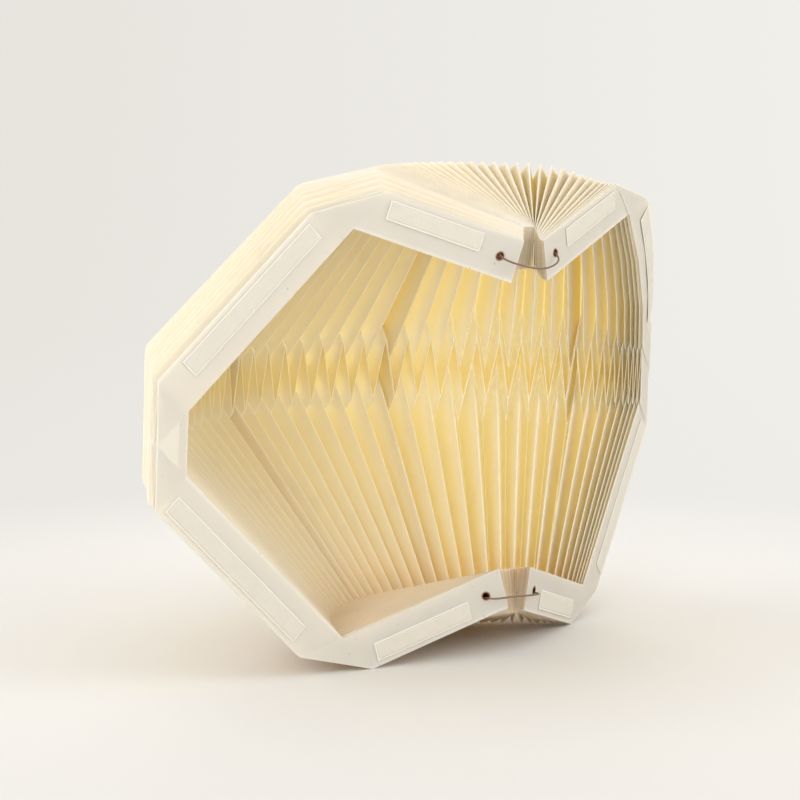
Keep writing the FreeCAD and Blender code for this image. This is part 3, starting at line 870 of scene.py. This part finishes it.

# %% [markdown]
# ## Where the paper is painted gold, pale and grey
# The two end panels are a greyer white, which is painted shade. Between them the open pleats are
# painted golden in their valleys, a painted glow for the warm light that passes through and
# between the pleats. The folds that stand out are pale, partly from crease wear and partly as a
# painted highlight. An image could be painted for that, but the values kept in the mesh give
# the same masks, and they fit every fold.

# %% Masks of the paper
FRONT_FADE, BACK_FADE = (0.5, 3.5), (83.0, 85.0)  # panels where the white ends turn golden
FAN_FRONT, FAN_BACK = (12.0, 34.0), (70.0, 84.0)  # panels where the outside opens and closes
VALLEY, FOOT_GLOW = (2.0, 24.0), (600.0, 680.0)  # mm into a pleat, mm down the sheet
FOLD_WEAR_AND_HIGHLIGHT, CROSS_WEAR = (0.4, 4.0), (0.2, 1.4)  # mm from a fold
paper, tree, shader, output, place = material("pleated paper")
panel, side = value_of(tree, "panel"), value_of(tree, "side")
within = times(tree, ramp(tree, panel, *FRONT_FADE), ramp(tree, panel, *BACK_FADE, 1, 0))
fanned = times(tree, ramp(tree, panel, *FAN_FRONT), ramp(tree, panel, *FAN_BACK, 1, 0))
deep = ramp(tree, value_of(tree, "depth"), *VALLEY)
# Painted glow: gold on the inner side of the open pleats, strongest deep in a valley, stands in
# for warm light passing through and between the pleats.
inside = times(tree, times(tree, within, side), maths(tree, "MULTIPLY_ADD", deep, 0.72, 0.10))
tone = maths(tree, "MAXIMUM", inside, times(tree, times(tree, fanned, deep), 0.5))
along, sheet_length = value_of(tree, "down"), float(down_sheet[-1])
ends = times(tree, ramp(tree, along, *FOOT_GLOW), within)
# Pale on the long fold that stands out: partly crease wear, partly a painted highlight. On the
# cross folds the paleness is crease wear.
ridge = times(tree, ramp(tree, value_of(tree, "to_fold"), *FOLD_WEAR_AND_HIGHLIGHT, 1, 0),
              maths(tree, "SUBTRACT", 1.0, deep))
crossed = ramp(tree, value_of(tree, "to_cross"), *CROSS_WEAR, 1, 0)
crease_wear_and_highlight = maths(tree, "MAXIMUM", ridge, crossed)
print("nodes for the masks:", len(tree.nodes))

# %% [markdown]
# ## Marks and painted shade on the paper
# The first panel has small specks and faint smudges. Round each hole a brown ring is partly a
# stain from the cord and partly painted shade of the hole through the stack, with a dark rim of
# painted shade. The cut ends of the card are browned as painted shade among the stacked ends,
# each layer a little differently, and the glued double panels get a faint painted shade. One
# noise over all of it would look like dirt, so each mark has a mask of its own that keeps it in
# its place.

# %% Colour of the paper
# The greyer white of the two end panels is painted shade.
WHITE, END_PANEL_SHADE = (0.955, 0.945, 0.925), (0.835, 0.822, 0.80)
PAINTED_GLOW_GOLD, WEAR_AND_HIGHLIGHT, CLOUD = (0.98, 0.905, 0.60), (0.985, 0.975, 0.95), (0.80, 0.74, 0.62)
SMUDGE, SPECK, STACK_END_SHADE = (0.66, 0.63, 0.58), (0.42, 0.37, 0.31), (0.60, 0.43, 0.25)
STAIN_AND_SHADE, HOLE_RIM_SHADE, DOUBLE_LAYER_SHADE = (0.45, 0.20, 0.07), (0.10, 0.036, 0.012), (0.88, 0.70, 0.42)
soft, marks = use_group(tree, fibres, place, Scale=14.0), use_group(tree, handling, place)
to_hole = value_of(tree, "to_hole")
layer = tree.nodes.new("ShaderNodeTexWhiteNoise")
layer.noise_dimensions = "1D"
tree.links.new(maths(tree, "ROUND", panel), layer.inputs["W"])
streak = maths(tree, "MULTIPLY_ADD", layer.outputs["Value"], 0.75, 0.1)
# Painted shade among the stacked cut ends at the axis, a little different for each layer.
stack_end_shade_mask = maths(tree, "MAXIMUM", ramp(tree, along, 0.02, 0.3, 1, 0),
                ramp(tree, along, sheet_length - 0.3, sheet_length - 0.02))
colour = layers(
    tree, blend(tree, within, END_PANEL_SHADE, WHITE),
    # Painted glow of warm light in the pleats.
    (tone, PAINTED_GLOW_GOLD),
    (times(tree, soft["Clouds"], 0.10), CLOUD),
    # Pale folds: crease wear and painted highlight.
    (times(tree, crease_wear_and_highlight, 0.55), WEAR_AND_HIGHLIGHT),
    (times(tree, marks["Smudges"], 0.10), SMUDGE),
    (times(tree, marks["Specks"], ramp(tree, panel, 0.0, 1.0, 0.50, 0.06)), SPECK),
    # Round each hole: a brown ring, partly a stain from the cord and partly painted shade of the
    # hole through the stack, and a dark rim of painted shade.
    (ramp(tree, to_hole, 3.4, 4.9, 0.85, 0.0), STAIN_AND_SHADE),
    (ramp(tree, to_hole, 2.9, 3.7, 0.90, 0.0), HOLE_RIM_SHADE),
    (times(tree, stack_end_shade_mask, streak), STACK_END_SHADE),
    # Painted shade on the glued double panels, which let less light through.
    (times(tree, value_of(tree, "double"), 0.06), DOUBLE_LAYER_SHADE))
print("nodes with the colour:", len(tree.nodes))

# %% [markdown]
# ## Light through the paper
# Card this thin lets some light through, and it comes out warm. A Principled shader alone
# would look like painted board, and its own transmission is made for glass. So a part of the
# light goes through a Translucent shader. On its way out of the thin shell it meets the far
# face from behind, and there the paper is transparent, which lets it leave.

# %% Paper material
THROUGH_RIDGE, THROUGH_VALLEY = (1.0, 0.97, 0.82), (1.0, 0.91, 0.60)
THROUGH_FOOT, THROUGH_CREASE = (1.0, 0.82, 0.50), (1.0, 0.98, 0.93)
settings(tree, shader, {
    "Base Color": colour, "Roughness": maths(tree, "MULTIPLY_ADD", soft["Grain"], 0.16, 0.66),
    "Specular IOR Level": 0.25})
normal = bump(tree, soft["Grain"], 0.22, 0.0002, shader)
through = tree.nodes.new("ShaderNodeBsdfTranslucent")
warmth = layers(tree, blend(tree, deep, THROUGH_RIDGE, THROUGH_VALLEY),
                (ends, THROUGH_FOOT), (times(tree, crease_wear_and_highlight, 0.8), THROUGH_CREASE))
settings(tree, through, {"Color": blend(tree, 1.0, colour, warmth, "MULTIPLY"), "Normal": normal})
mixed = mix_shaders(tree, maths(tree, "MULTIPLY_ADD", ends, 0.18, 0.40),
                    shader.outputs[0], through.outputs[0])
behind = tree.nodes.new("ShaderNodeNewGeometry").outputs["Backfacing"]
leave = tree.nodes.new("ShaderNodeBsdfTransparent").outputs[0]
tree.links.new(mix_shaders(tree, behind, mixed, leave), output.inputs["Surface"])
for sheet in sheets:
    sheet.data.materials.append(paper)
print("paper nodes:", len(tree.nodes))

# %% [markdown]
# ## The loop tape
# Its pile is a felt of tiny loops over a woven ground. Hair could stand for the loops, but they
# are finer than can be seen singly, so a bump made of rounded cells does, with a plain selvedge
# along the rim.

# %% Tape material
FELT, FELT_DARK, LOOP_HIGHLIGHT = (0.69, 0.65, 0.565), (0.62, 0.58, 0.495), (0.79, 0.755, 0.675)
GROOVE_SHADE, SELVEDGE = (0.56, 0.51, 0.41), (0.86, 0.84, 0.77)
felt, tree, shader, _, place = material("loop tape")
flat = tree.nodes.new("ShaderNodeUVMap")
flat.uv_map = "flat"
rim = value_of(tree, "rim")
pile = ramp(tree, rim, 1.6, 2.3)
cells = texture(tree, "Voronoi", place, Scale=1150.0)
weave = texture(tree, "Wave", flat.outputs[0], Scale=520.0, Distortion=1.5)
soft = use_group(tree, fibres, place, Scale=60.0)
loops = times(tree, pile, maths(tree, "SUBTRACT", 1.0, cells.outputs["Distance"]))
height = maths(tree, "MULTIPLY_ADD", soft["Grain"], 0.5, loops)
height = maths(tree, "MULTIPLY_ADD", weave.outputs["Fac"], 0.12, height)
# Painted shade in the groove between the selvedge and the pile.
groove_band = times(tree, ramp(tree, rim, 1.1, 1.6), ramp(tree, rim, 1.7, 2.2, 1, 0))
colour = layers(
    tree, blend(tree, soft["Clouds"], FELT, FELT_DARK),
    # Painted highlight on the raised loop tips.
    (times(tree, loops, 0.30), LOOP_HIGHLIGHT),
    (times(tree, groove_band, 0.30), GROOVE_SHADE),
    (ramp(tree, rim, 0.9, 1.4, 0.5, 0.0), SELVEDGE))
settings(tree, shader, {"Base Color": colour, "Roughness": 0.9, "Sheen Weight": 0.25,
                        "Specular IOR Level": 0.2})
bump(tree, height, 0.55, 0.0004, shader)
for tape in tapes:
    tape.data.materials.append(felt)
print("tape nodes:", len(tree.nodes))

# %% [markdown]
# ## The waxed cord
# Brown string with a dull wax shine. Its strands could be three twisted curves, but each is
# thinner than half a millimetre, so they are a bump, with painted shade in the grooves between.

# %% Cord material
STRAND_GROOVE_SHADE, STRAND, WAX = (0.10, 0.050, 0.027), (0.24, 0.135, 0.08), (0.32, 0.21, 0.14)
waxed, tree, shader, _, place = material("waxed cord")
soft = use_group(tree, fibres, place, Scale=90.0)
strands = texture(tree, "Wave", place, Scale=330.0, Distortion=2.0)
strands.bands_direction = "DIAGONAL"
# Painted shade in the grooves between the strands.
colour = blend(tree, strands.outputs["Fac"], STRAND_GROOVE_SHADE, STRAND)
colour = blend(tree, times(tree, soft["Clouds"], 0.4), colour, WAX)
settings(tree, shader, {
    "Base Color": colour, "Roughness": maths(tree, "MULTIPLY_ADD", soft["Grain"], 0.25, 0.35)})
height = maths(tree, "MULTIPLY_ADD", soft["Grain"], 0.4, strands.outputs["Fac"])
bump(tree, height, 0.5, 0.0002, shader)
for cord in (top_string, foot_string):
    cord.data.materials.append(waxed)
print("cord nodes:", len(tree.nodes))

# %% [markdown]
# ## Floor and backdrop
# The shade stands on a pale paper roll that curves up all round, so that the horizon does not
# show from any side. A flat floor under a white sky would show its edge. Near the shade the
# roll is lit by the lamps and keeps the shadow; further off its own pale colour takes over.

# %% Shape of the floor and backdrop
FLAT, ARC, WALL_TOP = 3.4, 1.3, 3.2  # reach of the floor, radius of the curve, height, m
FLAT_RINGS, INNERMOST, OUTERMOST = 12, 0.02, 3.2
ARC_RINGS, SECTORS = 19, 96


def bowl():
    """Surface of revolution: a flat floor, a quarter arc at its end, and a short wall."""
    arc = np.radians(np.linspace(0, 90, ARC_RINGS))
    floor = np.linspace(INNERMOST, OUTERMOST, FLAT_RINGS)
    reach = np.concatenate([floor, FLAT + ARC * np.sin(arc), [FLAT + ARC]])
    height = np.concatenate([np.zeros(FLAT_RINGS), ARC * (1 - np.cos(arc)), [WALL_TOP]])
    turn = np.radians(np.linspace(0, 360, SECTORS + 1))[:-1]
    x, y = np.outer(reach, np.cos(turn)), np.outer(reach, np.sin(turn))
    points = np.stack([x, y, np.repeat(height[:, None], len(turn), 1)], -1).reshape(-1, 3)
    number = np.arange(len(points)).reshape(len(reach), len(turn))
    after = np.roll(number, -1, 1)
    rings = np.stack([number[:-1], number[1:], after[1:], after[:-1]], -1).reshape(-1, 4)
    middle = len(points)
    points = np.vstack([points, [[0, 0, 0]]])
    fans = np.stack([np.full(SECTORS, middle), number[0], after[0]], -1)
    return points, rings.tolist() + fans.tolist()


points, faces = bowl()
mesh = bpy.data.meshes.new("backdrop")
mesh.from_pydata(points, [], faces)
mesh.shade_smooth()
backdrop = bpy.data.objects.new("backdrop", mesh)
scene.collection.objects.link(backdrop)
print("backdrop faces:", len(faces))

# %% [markdown]
# ## Colour of the roll
# More light on the roll would wash the shade out too. Instead the distance from the shade
# blends the lit paper of the roll into an even pale tone, which only the camera, gloss and glass
# can see. The tone is a little warmer and darker on the left.

# %% Roll material
ROLL, ROLL_LIGHT = (0.70, 0.685, 0.655), (0.73, 0.715, 0.69)
HAZE_LEFT, HAZE_RIGHT = (0.79, 0.765, 0.715), (0.90, 0.885, 0.855)
roll, tree, shader, output, place = material("pale roll")
soft = use_group(tree, fibres, place, Scale=1.4)
settings(tree, shader, {"Base Color": blend(tree, soft["Clouds"], ROLL, ROLL_LIGHT),
                        "Roughness": 0.85, "Specular IOR Level": 0.1})
spot = tree.nodes.new("ShaderNodeSeparateXYZ")
tree.links.new(place, spot.inputs[0])
far = tree.nodes.new("ShaderNodeVectorMath")
far.operation = "LENGTH"
tree.links.new(place, far.inputs[0])
haze = tree.nodes.new("ShaderNodeEmission")
rightwards = ramp(tree, spot.outputs["X"], -2.0, 2.0)
tree.links.new(blend(tree, rightwards, HAZE_LEFT, HAZE_RIGHT), haze.inputs["Color"])
ray = tree.nodes.new("ShaderNodeLightPath").outputs
seen = maths(tree, "MAXIMUM", ray["Is Camera Ray"],
             maths(tree, "MAXIMUM", ray["Is Glossy Ray"], ray["Is Transmission Ray"]))
share = times(tree, seen, ramp(tree, far.outputs["Value"], 0.3, 1.0))
tree.links.new(mix_shaders(tree, share, shader.outputs[0], haze.outputs[0]),
               output.inputs["Surface"])
backdrop.data.materials.append(roll)
print("roll nodes:", len(tree.nodes))

# %% [markdown]
# ## Light
# Soft lamps stand on all four sides, as in a tent of white cloth. The two strongest are one in
# front, which reaches into the hollow, and a low one behind, so that light comes through the
# pleats. Small lamps would draw hard lines on the floor.

# %% Lamps and world
LEVEL = 0.815  # of every lamp and of the world
SKY, SKY_STRENGTH = (1.0, 0.99, 0.97), 1.22
MIDDLE = (0, 0, 0.2)  # what the lamps face


def soft_lamp(name, place, width, power):
    """Square white area lamp that faces the middle of the shade."""
    data = bpy.data.lights.new(name, "AREA")
    data.size, data.energy = width, power * LEVEL
    lamp = bpy.data.objects.new(name, data)
    scene.collection.objects.link(lamp)
    lamp.location = place
    away = np.array(place) - np.array(MIDDLE)
    flat_reach = math.hypot(away[0], away[1])
    lamp.rotation_euler = (math.atan2(flat_reach, away[2]), 0, math.atan2(away[0], -away[1]))
    lamp.visible_camera = False


soft_lamp("key", (-2.2, -0.3, 1.1), 1.6, 19.0)
soft_lamp("window", (0.0, 2.3, 0.5), 1.2, 33.0)
soft_lamp("fill", (-0.8, -2.6, 0.9), 1.7, 38.0)
soft_lamp("side", (2.3, -0.4, 0.9), 1.4, 26.0)
world = bpy.data.worlds.new("studio")
scene.world = world
world.use_nodes = True
settings(world.node_tree, world.node_tree.nodes["Background"],
         {"Color": SKY, "Strength": SKY_STRENGTH * LEVEL})
scene.view_settings.view_transform = "Standard"
scene.cycles.diffuse_bounces = 12  # pale paper passes light on many times

# %% [markdown]
# ## Finishing the scene
# Looks must not change the size of the thing. The last call brings the scene up to date.

# %% Finish
bpy.context.view_layer.update()
